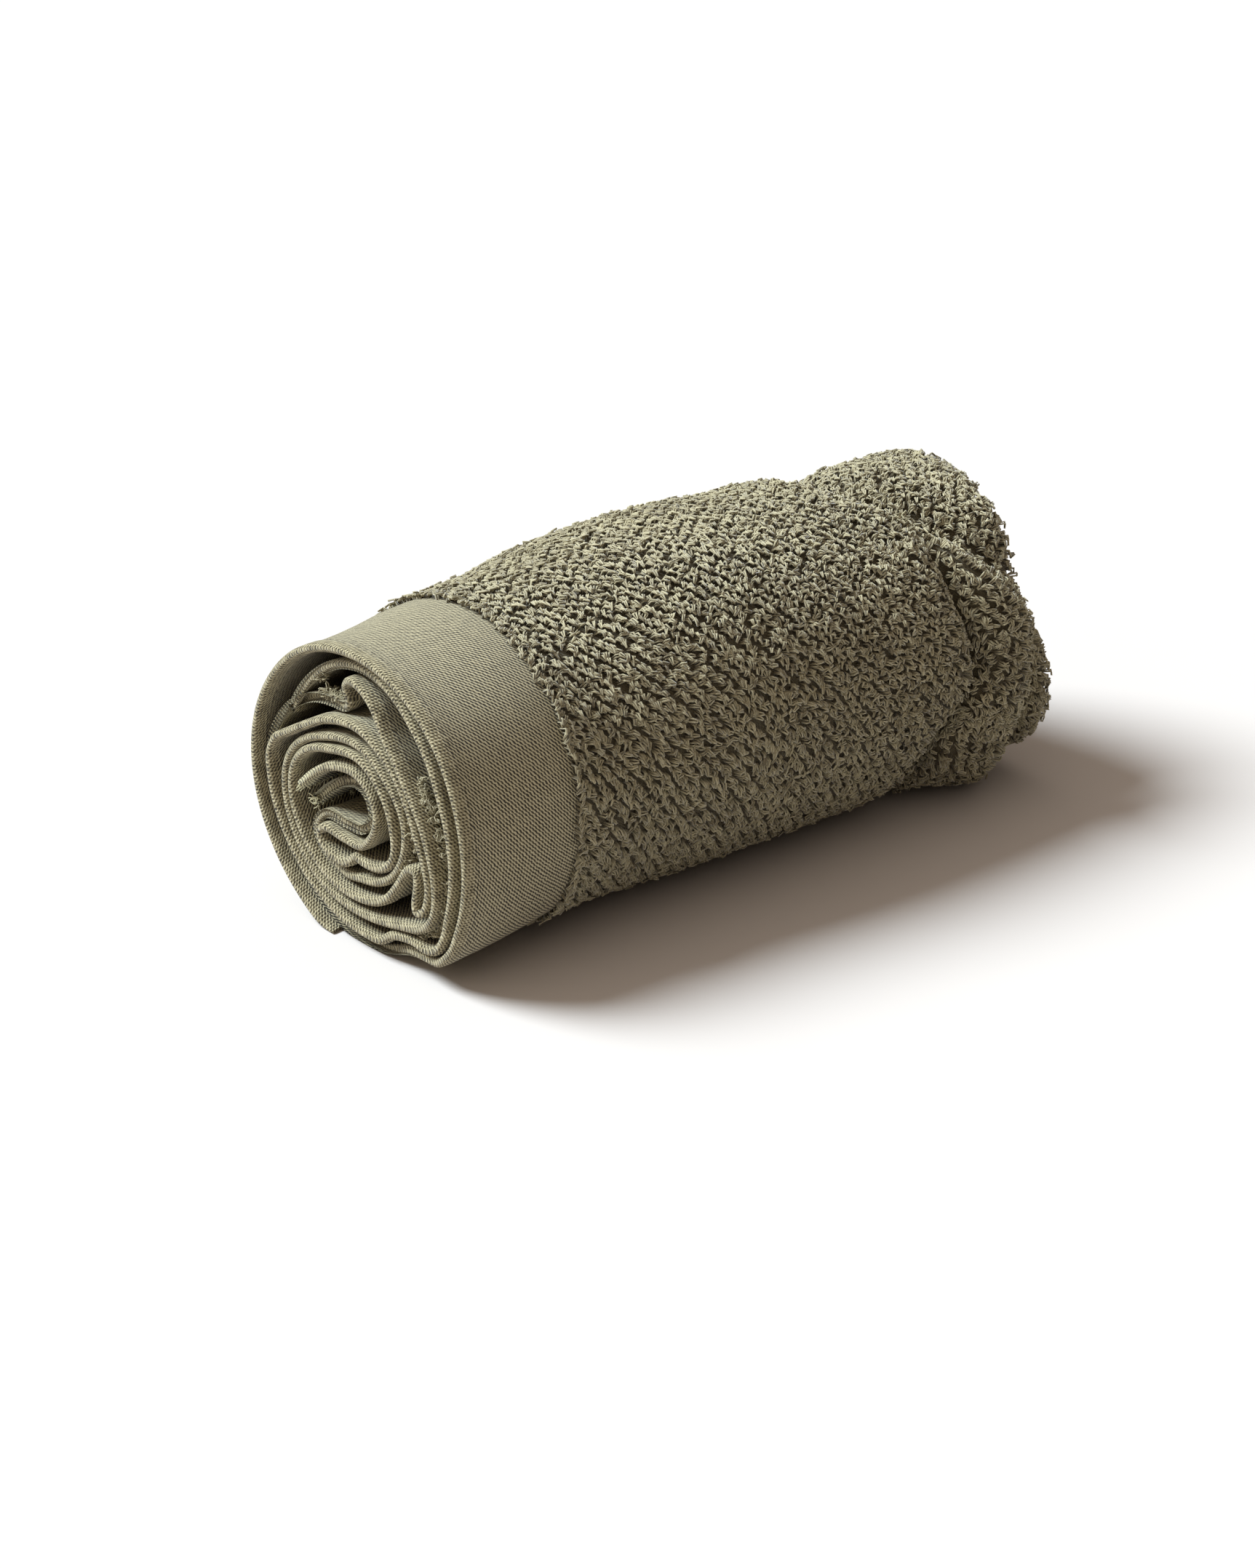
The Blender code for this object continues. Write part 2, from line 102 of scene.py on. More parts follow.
# Folds in the rims, where they leave the even turns: a deep pleat, creases, and a tuck on top
INNER_PLEAT = (
    # place, direction, reach
    (1.05, -71, 18.3), (1.11, -47, 16.3), (1.140, -34, 15.9), (1.158, -27, 16.5),
    (1.172, -24.8, 18.2), (1.186, -30.5, 19.6), (1.198, -39, 21.0), (1.212, -43.2, 22.7),
    (1.228, -38.5, 24.0), (1.245, -28, 23.0), (1.27, -14, 19.8), (1.295, -2, 17.3),
    (1.33, 20, 15.4),
)
INNER_CREASES = (
    (1.60, 126, 18.1), (1.66, 148, 20.8), (1.70, 161, 24.2), (1.72, 167, 26.6),
    (1.745, 174, 28.0), (1.79, 186, 28.0),
    (2.04, -77, 26.2), (2.058, -71, 25.2), (2.085, -63, 25.5), (2.12, -54, 27.6),
    (2.14, -49.5, 29.7), (2.158, -44.5, 31.0), (2.185, -36, 30.6), (2.215, -26, 29.1),
)
OUTER_TUCK = (
    (1.42, 68, 19.4), (1.445, 80, 22.6), (1.47, 91, 24.6), (1.49, 98.5, 24.9),
    (1.506, 102.8, 23.7), (1.520, 103.6, 22.2), (1.536, 103.6, 20.8), (1.551, 105.5, 19.7),
    (1.568, 109, 19.4), (1.59, 113, 19.6), (1.615, 119, 20.6),
)
OUTER_CREASES = (
    (1.04, -75, 22.4), (1.09, -58, 23.8), (1.125, -47, 25.8), (1.155, -39, 26.6),
    (1.185, -30, 26.1), (1.22, -19, 24.2), (1.25, -7, 21.9), (1.285, 8, 19.7),
    (2.05, -72, 28.3), (2.08, -63, 28.6), (2.11, -54, 30.7), (2.135, -47, 33.0),
    (2.155, -40, 33.5), (2.20, -27, 32.9),
)
# Places of a fold that lie closer together than this belong to one fold
FOLD_RUN = 0.09
# How far each rim stands back from the near end
SET_BACK = (
    # place, inner_rim, outer_rim
    (-1.1, 0.0, 3.0), (-0.5, 0.5, 2.5), (0.0, 0.5, 1.0), (0.5, 0.0, 0.5), (1.0, 0.3, 0.3),
    (1.5, 0.0, 0.8), (1.62, 0.0, 3.0), (1.75, -0.5, 4.0), (2.0, 0.3, 3.5), (2.12, 0.3, 1.0),
    (2.25, 0.4, 0.0), (2.5, 1.2, 0.0), (2.92, 2.5, 0.0),
)
# The fold at the far end: how far out its tip is, and how far and from where it flares
FAR_END = (
    # place, tip_x, flare, flare_from_x, flare_full_x
    (-1.1, 146.0, 0.0, 126.0, 146.0), (0.0, 148.0, 0.0, 128.0, 148.0),
    (0.6, 151.0, 0.5, 131.0, 151.0), (0.9, 153.0, 1.0, 133.0, 153.0),
    (1.0, 154.0, 1.6, 134.0, 154.0), (1.05, 155.0, 3.8, 135.0, 155.0),
    (1.11, 155.0, 8.0, 135.0, 155.0), (1.17, 154.5, 8.2, 134.5, 154.5),
    (1.24, 153.0, 4.5, 133.0, 153.0), (1.30, 150.5, 1.2, 130.5, 150.5),
    (1.36, 150.5, 2.2, 130.5, 150.5), (1.42, 151.5, 5.0, 130.0, 148.0),
    (1.48, 152.5, 6.3, 124.0, 141.0), (1.54, 153.0, 7.4, 119.0, 135.5),
    (1.62, 152.5, 7.6, 117.5, 134.0), (1.72, 152.0, 6.8, 121.5, 139.0),
    (1.80, 151.5, 5.5, 126.0, 146.0), (1.87, 151.0, 4.0, 131.0, 151.0),
    (1.95, 151.0, 2.2, 131.0, 151.0), (2.0, 151.0, 1.7, 131.0, 151.0),
    (2.05, 148.0, 2.6, 128.0, 148.0), (2.1, 144.0, 3.8, 124.0, 144.0),
    (2.15, 141.0, 4.2, 121.0, 141.0), (2.2, 140.5, 3.6, 120.5, 140.5),
    (2.27, 143.5, 2.6, 123.5, 143.5), (2.34, 144.5, 2.0, 124.5, 144.5),
    (2.42, 135.5, 1.0, 115.5, 135.5), (2.485, 127.0, 0.8, 107.0, 127.0),
    (2.55, 120.5, 0.8, 100.5, 120.5), (2.65, 117.5, 0.8, 97.5, 117.5),
    (2.75, 120.5, 0.5, 100.5, 120.5), (2.92, 126.0, 0.0, 106.0, 126.0),
)
# The roll is drawn in behind the band and again ahead of the fold
ROLL_SIZE = (
    # x, scale
    (0, 1.0), (22, 0.995), (27, 0.985), (33, 0.963), (42, 0.955), (50, 0.966), (58, 0.981),
    (68, 0.987), (78, 0.989), (90, 0.980), (105, 0.961), (117, 0.942), (125, 0.938), (160, 0.938),
)
# A gather goes round the front of the roll, ahead of the fold and deepest low down
GATHER_WIDTH, GATHER_REACH = 2.5, 27.0
GATHER = (
    # direction, x, depth
    (-180, 119.0, 0.0), (-84, 119.0, 0.0), (-64, 120.0, 4.5), (-46, 121.0, 8.5),
    (-31, 122.0, 8.5), (-20, 124.0, 6.0), (-11, 127.5, 2.6), (-3, 130.5, 3.8), (8, 131.5, 5.0),
    (22, 130.5, 5.0), (37, 129.0, 4.0), (50, 128.0, 2.0), (66, 127.0, 0.0), (180, 126.0, 0.0),
)
# The rows of the mesh along X: degrees round the hem's nose, the band, the body, the gather, how
# far on towards the bend, and degrees round the bend
NOSE_ROWS = (15, 40, 65)
BAND_ROWS = (2.0, 3.0, 4.2, 6.5, 10.0, 15.0, 21.0, BAND_WIDTH)
BODY_ROWS = (31.0, 36.0, 43.0, 52.0, 64.0, 78.0, 93.0)
GATHER_ROWS = (
    # from the gather's middle, least distance from the fold's tip
    (-9.0, 18.0), (-4.5, 14.5), (-2.0, 12.5), (0.0, 11.0), (2.0, 9.5), (4.5, 8.0), (9.0, 6.5),
)
FLARE_SHARES = (0.3, 0.55, 0.8)
BEND_ROWS = (75, 50, 25, 0, -25, -50, -75)


def curve_through(places, rows, at):
    """Rows of values read at any place, on a smooth curve through the rows given."""
    places, rows, at = np.array(places), np.array(rows, float), np.atleast_1d(at)
    gaps = np.diff(places)[:, None]
    slopes = np.diff(rows, axis=0) / gaps
    tangents = np.empty_like(rows)
    tangents[0], tangents[-1] = slopes[0], slopes[-1]
    tangents[1:-1] = (slopes[:-1] * gaps[1:] + slopes[1:] * gaps[:-1]) / (gaps[1:] + gaps[:-1])
    i = np.clip(np.searchsorted(places, at, side="right") - 1, 0, len(places) - 2)
    gap = gaps[i]
    t = (at - places[i])[:, None] / gap
    start = (2 * t**3 - 3 * t**2 + 1) * rows[i] + (t**3 - 2 * t**2 + t) * gap * tangents[i]
    return start + (3 * t**2 - 2 * t**3) * rows[i + 1] + (t**3 - t**2) * gap * tangents[i + 1]


def table_at(table, at):
    """The other columns of a table, read at any value of its first one."""
    return curve_through([row[0] for row in table], [row[1:] for row in table], at)


def ramp(start, end, x):
    """0 before start, 1 after end, and a soft rise between them."""
    t = np.clip((x - start) / (end - start), 0.0, 1.0)
    return t * t * (3 - 2 * t)


def winding(heart, turns, folds):
    """The path of one layer: its points, and their directions, for places along the cloth."""
    rows = []
    for place, direction, reach in folds:
        whole = round(place - 0.25 - direction / 360)
        rows.append((place, math.radians(direction + 360 * whole), reach))
    fold_places = [row[0] for row in folds]
    for turn, reaches in enumerate(turns):
        for step, reach in enumerate(reaches):
            place = turn + step / STEPS
            before = max((p for p in fold_places if p <= place), default=-math.inf)
            after = min((p for p in fold_places if p >= place), default=math.inf)
            if min(place - before, after - place) >= FOLD_RUN / 3 and after - before >= FOLD_RUN:
                rows.append((place, math.radians(360 * place - 90), reach))
    rows.sort()
    places = [row[0] for row in rows]
    polar = [row[1:] for row in rows]
    first = curve_through(places, polar, [0.0, HEART_STEP, 2 * HEART_STEP])
    heart_places = [HEART_STEP * (i - len(heart)) for i in range(len(heart) + 3)]
    heart_points = list(heart) + [(r * math.cos(a), r * math.sin(a)) for a, r in first]

    def at(place, full_lag=0.0):
        wound = np.clip((place - LAG_FROM) / (LAST_PLACE - LAG_FROM), 0.0, 1.0)
        in_turns = curve_through(places, polar, place - full_lag / 360 * wound**LAG_GROWTH)
        turn_points = in_turns[:, 1:] * np.c_[np.cos(in_turns[:, 0]), np.sin(in_turns[:, 0])]
        in_heart = curve_through(heart_places, heart_points, np.minimum(place, 0.0))
        return np.where(place[:, None] < 0, in_heart, turn_points), in_turns[:, 0]

    return at


inner_heart, outer_heart, fold_heart = ([row[k:k + 2] for row in HEART] for k in (0, 2, 4))
inner_rim = winding(inner_heart, INNER_RIM, INNER_PLEAT + INNER_CREASES)
inner_opened = winding(inner_heart, INNER_RIM, INNER_CREASES)
outer_rim = winding(outer_heart, OUTER_RIM, OUTER_TUCK + OUTER_CREASES)
outer_opened = winding(outer_heart, OUTER_RIM, OUTER_CREASES)
fold_turns = [[r + FAR_TURN_PITCH * turn for r in FOLD_FIRST_TURN] for turn in range(FAR_TURNS)]
fold_line = winding(fold_heart, fold_turns, ())


def outward(points):
    """The way the outer layer faces, square to a path in the cross-section."""
    along = np.gradient(points, axis=0)
    along /= np.linalg.norm(along, axis=1)[:, None]
    return np.c_[along[:, 1], -along[:, 0]]


# The rounds of squeezing, how much thinner each leaves the cloth, and the least step in a bend
SQUEEZES, THINNER, LEAST_STEP = 60, 0.92, 0.15


def face_of_layer(middle, half, facing):
    """One face of a layer. Inside a tight bend the cloth is squeezed thinner, to stay in order."""
    out = outward(middle) * facing
    along = np.diff(middle, axis=0)
    length = np.sum(along * along, axis=1)
    half = half.copy()
    for _ in range(SQUEEZES):
        skin = middle + out * half[:, None]
        tight = np.sum(np.diff(skin, axis=0) * along, axis=1) < LEAST_STEP * length
        half[:-1][tight] *= THINNER
        half[1:][tight] *= THINNER
    return middle + out * half[:, None]


def between(place, first, second, along, across):
    """Between two sections. The turns go round as they grow, and the heart goes straight."""
    (first_points, first_angle), (second_points, second_angle) = first, second
    first_reach = np.linalg.norm(first_points, axis=1)
    second_reach = np.linalg.norm(second_points, axis=1)
    angle = first_angle + along * (second_angle - first_angle)
    reach = first_reach + across * (second_reach - first_reach)
    round_the_roll = reach[:, None] * np.c_[np.cos(angle), np.sin(angle)]
    straight = first_points + across[:, None] * (second_points - first_points)
    return np.where(place[:, None] < 0, straight, round_the_roll), angle


def stations(longest_step, widest_bend, tried=9000):
    """Places along the cloth, closer together where either layer bends."""
    fine = np.linspace(FIRST_PLACE, LAST_PLACE + END_TUCK, tried)
    cost = np.zeros(len(fine) - 1)
    for path in (inner_rim, outer_rim, fold_line):
        step = np.diff(path(fine)[0], axis=0)
        heading = np.unwrap(np.arctan2(step[:, 1], step[:, 0]))
        bend = np.abs(np.gradient(heading)) / math.radians(widest_bend)
        cost = np.maximum(cost, np.hypot(bend, np.linalg.norm(step, axis=1) / longest_step))
    travelled = np.r_[0.0, np.cumsum(cost)]
    return np.interp(np.linspace(0.0, travelled[-1], math.ceil(travelled[-1]) + 1), travelled, fine)


place = stations(longest_step=1.05, widest_bend=9.0)
set_back = table_at(SET_BACK, place)
tip, flare, flare_from, flare_full = table_at(FAR_END, place).T
squeeze = TIGHT_HEART + (1 - TIGHT_HEART) * ramp(*TIGHT_PLACES, place)
half_gap = FOLD_HALF_GAP * squeeze
half_terry = TERRY_THICK / 2 * squeeze
bend_x = tip - half_gap - half_terry


def gather_at(direction):
    """Where the gather lies along X, and how deep it is, in a direction in degrees."""
    found = table_at(GATHER, direction)
    return found[:, 0], np.maximum(found[:, 1], 0.0)


def settled(x, section):
    """A section's points put in the roll, in metres: flared at the far end, at their height."""
    reach = np.linalg.norm(section, axis=1)
    swell = flare * ramp(flare_from, flare_full, x)
    gather_x, depth = gather_at(np.degrees(np.arctan2(section[:, 1], section[:, 0])))
    drawn_in = 1 - depth / GATHER_REACH * np.exp(-((x - gather_x) / GATHER_WIDTH) ** 2)
    section = section * ((reach + swell) / np.maximum(reach, 1.0) * drawn_in)[:, None]
    rise = ramp(0.0, REGROUPED[1], x)
    height = NEAR_CENTRE_HEIGHT + rise * (BODY_CENTRE_HEIGHT - NEAR_CENTRE_HEIGHT)
    scale = np.interp(x, [r[0] for r in ROLL_SIZE], [r[1] for r in ROLL_SIZE])
    # Where it rests on the floor the cloth is pressed together, and its layers keep their order
    z = PRESSED * np.logaddexp(0.0, ((section[:, 1] + height) * scale - FLOOR) / PRESSED)
    return np.c_[x - ROLL_MIDDLE_X, ROLL_MIDDLE_W - section[:, 0] * scale, z] * MM


def layer_skin(side, face):
    """One face of a layer, from its hem to where the fold begins."""
    rim, opened, back, sign, rim_lag = {
        "outer": (outer_rim, outer_opened, set_back[:, 1], 1.0, 0.0),
        "inner": (inner_rim, inner_opened, set_back[:, 0], -1.0, INNER_LAG),
    }[side]
    nose = HEM_THICK / 2
    rows_x = [back + nose * (1 - math.cos(math.radians(a))) for a in NOSE_ROWS]
    rows_x += [np.full_like(tip, x) for x in BAND_ROWS + BODY_ROWS]
    gather_x = gather_at((360 * place + 90) % 360 - 180)[0]
    rows_x += [np.minimum(gather_x + step, tip - least) for step, least in GATHER_ROWS]
    last_x = rows_x[-1]
    rows_x += [last_x + (bend_x - last_x) * share for share in FLARE_SHARES] + [bend_x]
    rows = []
    for number, x in enumerate(rows_x):
        share = ramp(*REGROUPED, x)
        lag = rim_lag + (SHARED_LAG - rim_lag) * np.minimum(x / LAG_SETTLES, 1.0)
        fold_points, fold_angle = fold_line(place, lag)
        far_points = fold_points + outward(fold_points) * (half_gap * sign)[:, None]
        eased = between(place, rim(place, lag), opened(place, lag),
                        ramp(*OPENS_ALONG, x), ramp(*OPENS_ACROSS, x))
        middle = between(place, eased, (far_points, fold_angle), share, share)[0]
        hem = HEM_THICK / 2 + (BAND_THICK - HEM_THICK) / 2 * ramp(*HEM_ENDS, x - back)
        half = hem + ramp(*THICKENED, x) * (half_terry - BAND_THICK / 2)
        if number < len(NOSE_ROWS):
            half = nose * math.sin(math.radians(NOSE_ROWS[number])) + 0 * x
        rows.append(settled(x, face_of_layer(middle, half, face)))
    return rows


def bend_skin(radius):
    """The fold at the far end, from the outer layer round to the inner one."""
    rows = []
    fold_points = fold_line(place, SHARED_LAG)[0]
    for degrees in BEND_ROWS:
        angle = math.radians(degrees)
        section = fold_points + outward(fold_points) * (radius * math.sin(angle))[:, None]
        rows.append(settled(bend_x + radius * math.cos(angle), section))
    return rows


outside = layer_skin("outer", 1.0) + bend_skin(half_gap + half_terry)
outside += layer_skin("inner", -1.0)[::-1]
inside = layer_skin("outer", -1.0) + bend_skin(half_gap - half_terry)
inside += layer_skin("inner", 1.0)[::-1]
rings = np.stack(outside + inside[::-1], axis=1)
station_count, ring = rings.shape[:2]
rail = ring // 2

corner = np.arange((station_count - 1) * ring).reshape(-1, ring)
after = np.roll(corner, -1, axis=1)
skin_faces = np.stack([corner, after, after + ring, corner + ring], axis=-1).reshape(-1, 4)
low = np.arange(rail - 1)
first_edge = np.stack([low, low + 1, ring - 2 - low, ring - 1 - low], axis=-1)[:, ::-1]
last_edge = first_edge[:, ::-1] + (station_count - 1) * ring
cloth_faces = np.concatenate([skin_faces, first_edge, last_edge])


def mesh_from(name, points, faces, material):
    """An object from arrays of points in metres and faces with equal corner counts."""
    mesh = bpy.data.meshes.new(name)
    corners = faces.shape[1]
    mesh.vertices.add(len(points))
    mesh.vertices.foreach_set("co", np.ascontiguousarray(points, np.float32).ravel())
    mesh.loops.add(faces.size)
    mesh.loops.foreach_set("vertex_index", np.ascontiguousarray(faces, np.int32).ravel())
    mesh.polygons.add(len(faces))
    mesh.polygons.foreach_set("loop_start", np.arange(0, faces.size, corners, dtype=np.int32))
    mesh.update(calc_edges=True)
    mesh.validate()
    mesh.shade_smooth()
    mesh.materials.append(material)
    piece = bpy.data.objects.new(name, mesh)
    bpy.context.scene.collection.objects.link(piece)
    return piece


def colour(code):
    """An sRGB hex colour as linear values."""
    parts = [int(code[i:i + 2], 16) / 255 for i in (1, 3, 5)]
    return [p / 12.92 if p <= 0.04045 else ((p + 0.055) / 1.055) ** 2.4 for p in parts] + [1.0]


def add_node(tree, kind, settings=(), **inputs):
    """A node of that kind with its settings, and its inputs set or linked by name or number."""
    node = tree.nodes.new(kind)
    for name, value in dict(settings).items():
        setattr(node, name, value)
    for name, value in inputs.items():
        key = int(name[1:]) if name[0] == "i" and name[1:].isdigit() else name.replace("_", " ")
        if isinstance(value, bpy.types.NodeSocket):
            tree.links.new(value, node.inputs[key])
        else:
            node.inputs[key].default_value = value
    return node


# Carded cotton in a close weave: matt and slightly downy, with a grain of light floats and dark
# slits that runs at a slant, and yarns that wrap over the turned hem as fine ribs.
# The real floats stand about 0.66 and 0.54 mm apart, and the ribs 0.54 mm. That is too fine to
# show in the render, so all three are drawn about 15 percent coarser.
WEAVE_WAVES = (
    # slant in degrees, pitch in millimetres, weight in the grain
    (95.0, 0.76, 0.7), (49.4, 0.62, 1.3),
)
GRAIN_FROM, GRAIN_FULL, RELIEF_MM = 0.4, 1.4, 0.25
WEAVE_WANDER, WANDER_DETAIL, RIB_WANDER = 1.9, 1.6, 0.5
RIB_PITCH, RIB_LENGTH = 0.62, 2.5
SEAM_FROM_HEM, SEAM_HALF_WIDTH, STITCH_PITCH, SEAM_DEPTH = 3.2, 0.22, 2.3, 0.45
FRAY_REACH = 9.0
# The scale of a wave texture whose waves are 1 mm apart
WAVE_SCALE = math.pi / 10
weave = bpy.data.materials.new("olive cotton weave")
weave.use_nodes = True
tree = weave.node_tree
shader = tree.nodes["Principled BSDF"]
cloth_mm = add_node(tree, "ShaderNodeUVMap", {"uv_map": "cloth_mm"}).outputs[0]
from_hem = add_node(tree, "ShaderNodeSeparateXYZ", i0=cloth_mm).outputs[1]
waves = []
for slant, pitch, _ in WEAVE_WAVES:
    turned = add_node(tree, "ShaderNodeMapping", Vector=cloth_mm,
                      Rotation=(0.0, 0.0, -math.radians(slant)))
    waves.append(add_node(tree, "ShaderNodeTexWave", Vector=turned.outputs[0],
                          Scale=WAVE_SCALE / pitch, Distortion=WEAVE_WANDER, Detail=1.0,
                          Detail_Scale=WANDER_DETAIL).outputs["Fac"])
slanted = add_node(tree, "ShaderNodeMath", {"operation": "MULTIPLY"},
                   i0=waves[1], i1=WEAVE_WAVES[1][2])
grain = add_node(tree, "ShaderNodeMath", {"operation": "MULTIPLY_ADD"},
                 i0=waves[0], i1=WEAVE_WAVES[0][2], i2=slanted.outputs[0])
floats = add_node(tree, "ShaderNodeMapRange", {"interpolation_type": "SMOOTHSTEP"},
                  Value=grain.outputs[0], From_Min=GRAIN_FROM, From_Max=GRAIN_FULL)
# Over the hem's nose the ribs take the place of the grain
ribs = add_node(tree, "ShaderNodeTexWave", Vector=cloth_mm, Scale=WAVE_SCALE / RIB_PITCH,
                Distortion=RIB_WANDER, Detail=0.0)
ribbed = add_node(tree, "ShaderNodeMath", {"operation": "MULTIPLY_ADD"},
                  i0=ribs.outputs["Fac"], i1=0.75, i2=-0.08)
in_hem = add_node(tree, "ShaderNodeMapRange", {"interpolation_type": "SMOOTHSTEP"}, Value=from_hem,
                  From_Min=RIB_LENGTH - 0.5, From_Max=RIB_LENGTH + 0.3, To_Min=0.5, To_Max=0.0)
relief = add_node(tree, "ShaderNodeMix", {"data_type": "FLOAT"},
                  i0=in_hem.outputs[0], i2=floats.outputs[0], i3=ribbed.outputs[0])
# The seam that holds the hem down is a row of sunk stitches
near_seam = add_node(tree, "ShaderNodeMath", {"operation": "COMPARE"},
                     i0=from_hem, i1=SEAM_FROM_HEM, i2=SEAM_HALF_WIDTH)
stitches = add_node(tree, "ShaderNodeTexWave", Vector=cloth_mm, Scale=WAVE_SCALE / STITCH_PITCH,
                    Distortion=0.0, Detail=0.0)
seam = add_node(tree, "ShaderNodeMath", {"operation": "MULTIPLY"},
                i0=near_seam.outputs[0], i1=stitches.outputs["Fac"])
sunk = add_node(tree, "ShaderNodeMath", {"operation": "MULTIPLY_ADD"},
                i0=seam.outputs[0], i1=-SEAM_DEPTH, i2=relief.outputs[0])
# Washing has left it uneven in tone, in patches a few millimetres across
wash = add_node(tree, "ShaderNodeTexNoise", {"noise_dimensions": "2D"}, Vector=cloth_mm, Scale=0.4,
                Detail=4.0, Roughness=0.8)
shade = add_node(tree, "ShaderNodeMath", {"operation": "MULTIPLY_ADD"},
                 i0=wash.outputs["Fac"], i1=0.9, i2=-0.47)
tone = add_node(tree, "ShaderNodeMath", {"operation": "ADD"},
                i0=sunk.outputs[0], i1=shade.outputs[0])
weave_colour = add_node(tree, "ShaderNodeValToRGB", i0=tone.outputs[0])
weave_colour.color_ramp.elements[0].color = colour("#2f2818")
weave_colour.color_ramp.elements[1].color = colour("#b5aa8a")
weave_colour.color_ramp.elements[1].position = 0.85
middle_tone = weave_colour.color_ramp.elements.new(0.4)
middle_tone.color = colour("#82775a")
# Behind the band the ground is shaded by its own pile, and the cut side edge is pale and frayed
under_pile = add_node(tree, "ShaderNodeMapRange", {"interpolation_type": "SMOOTHSTEP"},
                      Value=from_hem, From_Min=BAND_WIDTH + 0.5, From_Max=BAND_WIDTH + 1.8)
ground = add_node(tree, "ShaderNodeMix", {"data_type": "RGBA"},
                  i0=under_pile.outputs[0], i6=weave_colour.outputs[0], i7=colour("#534932"))
raw_edge = add_node(tree, "ShaderNodeAttribute", {"attribute_name": "raw_edge"})
threads = add_node(tree, "ShaderNodeMapRange",
                   Value=tone.outputs[0], From_Min=0.1, From_Max=0.8, To_Min=0.0, To_Max=0.75)
frayed = add_node(tree, "ShaderNodeMath", {"operation": "MULTIPLY"},
                  i0=raw_edge.outputs["Fac"], i1=threads.outputs[0])
cloth_colour = add_node(tree, "ShaderNodeMix", {"data_type": "RGBA"},
                        i0=frayed.outputs[0], i6=ground.outputs[2], i7=colour("#d2cda6"))
bump = add_node(tree, "ShaderNodeBump", Strength=0.9, Distance=RELIEF_MM * MM,
                Height=sunk.outputs[0])
tree.links.new(cloth_colour.outputs[2], shader.inputs["Base Color"])
tree.links.new(bump.outputs[0], shader.inputs["Normal"])
shader.inputs["Roughness"].default_value = 0.92
shader.inputs["Specular IOR Level"].default_value = 0.3
shader.inputs["Sheen Weight"].default_value = 0.12
shader.inputs["Sheen Roughness"].default_value = 0.6

cloth = mesh_from("towel_cloth", rings.reshape(-1, 3), cloth_faces, weave)


def run_of(points):
    """How far along a path each of its points is, in the points' own unit."""
    return np.r_[0.0, np.cumsum(np.linalg.norm(np.diff(points, axis=0), axis=1))]


# The weave follows the cloth: how far each point is along its own hem, and how far from it, both
# in millimetres. The hem's length is measured a few rows in, where its nose doesn't pinch it.
MEASURED_ROW = 4
hem_run = [run_of(rings[:, k]) / MM for k in (MEASURED_ROW, rail - 1 - MEASURED_ROW)]
row_step = np.linalg.norm(np.diff(rings[:, :rail], axis=1), axis=2) / MM
run = np.c_[np.zeros(station_count), np.cumsum(row_step, axis=1)]
run = np.minimum(run, run[:, -1:] - run)
both_runs = np.c_[run, run[:, ::-1]]
outer_half = np.arange(rail) < rail // 2
along_hem = np.where(outer_half, hem_run[0][:, None], hem_run[1][:, None])
cloth_uv = np.stack([np.c_[along_hem, along_hem[:, ::-1]], both_runs], axis=-1).reshape(-1, 2)
corner_points = np.empty(len(cloth.data.loops), np.int32)
cloth.data.loops.foreach_get("vertex_index", corner_points)
uv_layer = cloth.data.uv_layers.new(name="cloth_mm")
uv_layer.data.foreach_set("uv", cloth_uv[corner_points].astype(np.float32).ravel())
# The fraying starts unevenly from the side edge, and fades along it and away from the hem
start_run = hem_run[0][:, None] + 0.8 * np.abs(np.sin(np.arange(ring) * 2.3))[None, :]
raw = (np.clip(1.0 - start_run / FRAY_REACH, 0.0, 1.0)
       * np.clip(1.4 - both_runs / FRAY_REACH, 0.0, 1.0))
raw_attribute = cloth.data.attributes.new("raw_edge", "FLOAT", "POINT")
raw_attribute.data.foreach_set("value", raw.astype(np.float32).ravel())
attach(cloth, "root")
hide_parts("towel_roll")


# The pile: loops of soft two-ply cotton yarn, drawn up from the ground weave in staggered tufts.
# Each loop is a hairpin that leans over and curls; on top they are combed along the roll, and on
# the sides they hang. They stand from the band to the fold, and on the folded ends inside.
#
# Real rows stand about 1.95 mm apart, with a tuft every 3.8 mm. They are drawn a little closer
# and with thicker yarn, so that a number of loops that can be drawn still covers the cloth.
TUFT_ROWS, TUFT_PITCH, TUFT_SHIFT = 1.7, 3.2, 1.8
LOOP_LENGTH, LOOP_HEIGHT, LEG_GAP, YARN = 1.7, 1.25, 0.42, 0.43
CURLS = (
    # where each loop of a tuft stands: on along the way it lies, beside it, its turn, its height
    (-0.45, -0.60, 0.3, 0.9), (0.45, -0.15, 0.0, 1.1), (-0.30, 0.60, -0.2, 0.9),
    (-1.05, 0.00, 0.0, 0.85), (0.15, 0.75, 0.4, 0.95),
)
# The share of the tufts that have all five loops, and how far a tuft is out of its place
FULL_TUFTS, TUFT_NUDGE = 0.19, 0.22
PROFILE = (
    # share of the way out, height, half the gap between the legs
    (0.00, -0.15, 0.80), (0.30, 0.95, 1.15), (0.95, 0.88, 0.70),
)
# Places: from where a turn lies outermost, from where its end shows, and the turn that covers it
OUTERMOST, END_SHOWS, COVERED_BY = 1.965, 0.9, 1.07
# Where the flare spreads the cloth by more than this, half rows are put in
FLARED, ROWS_NEAR_HEM = 1.22, 15
GATHER_SHUT, GATHER_SLIT = 2.0, 1.3
RUFFLED = (60.0, 115.0)
PILE_PIECES = 5

rng = np.random.default_rng(7)
ripples = rng.normal(size=(7, 4))


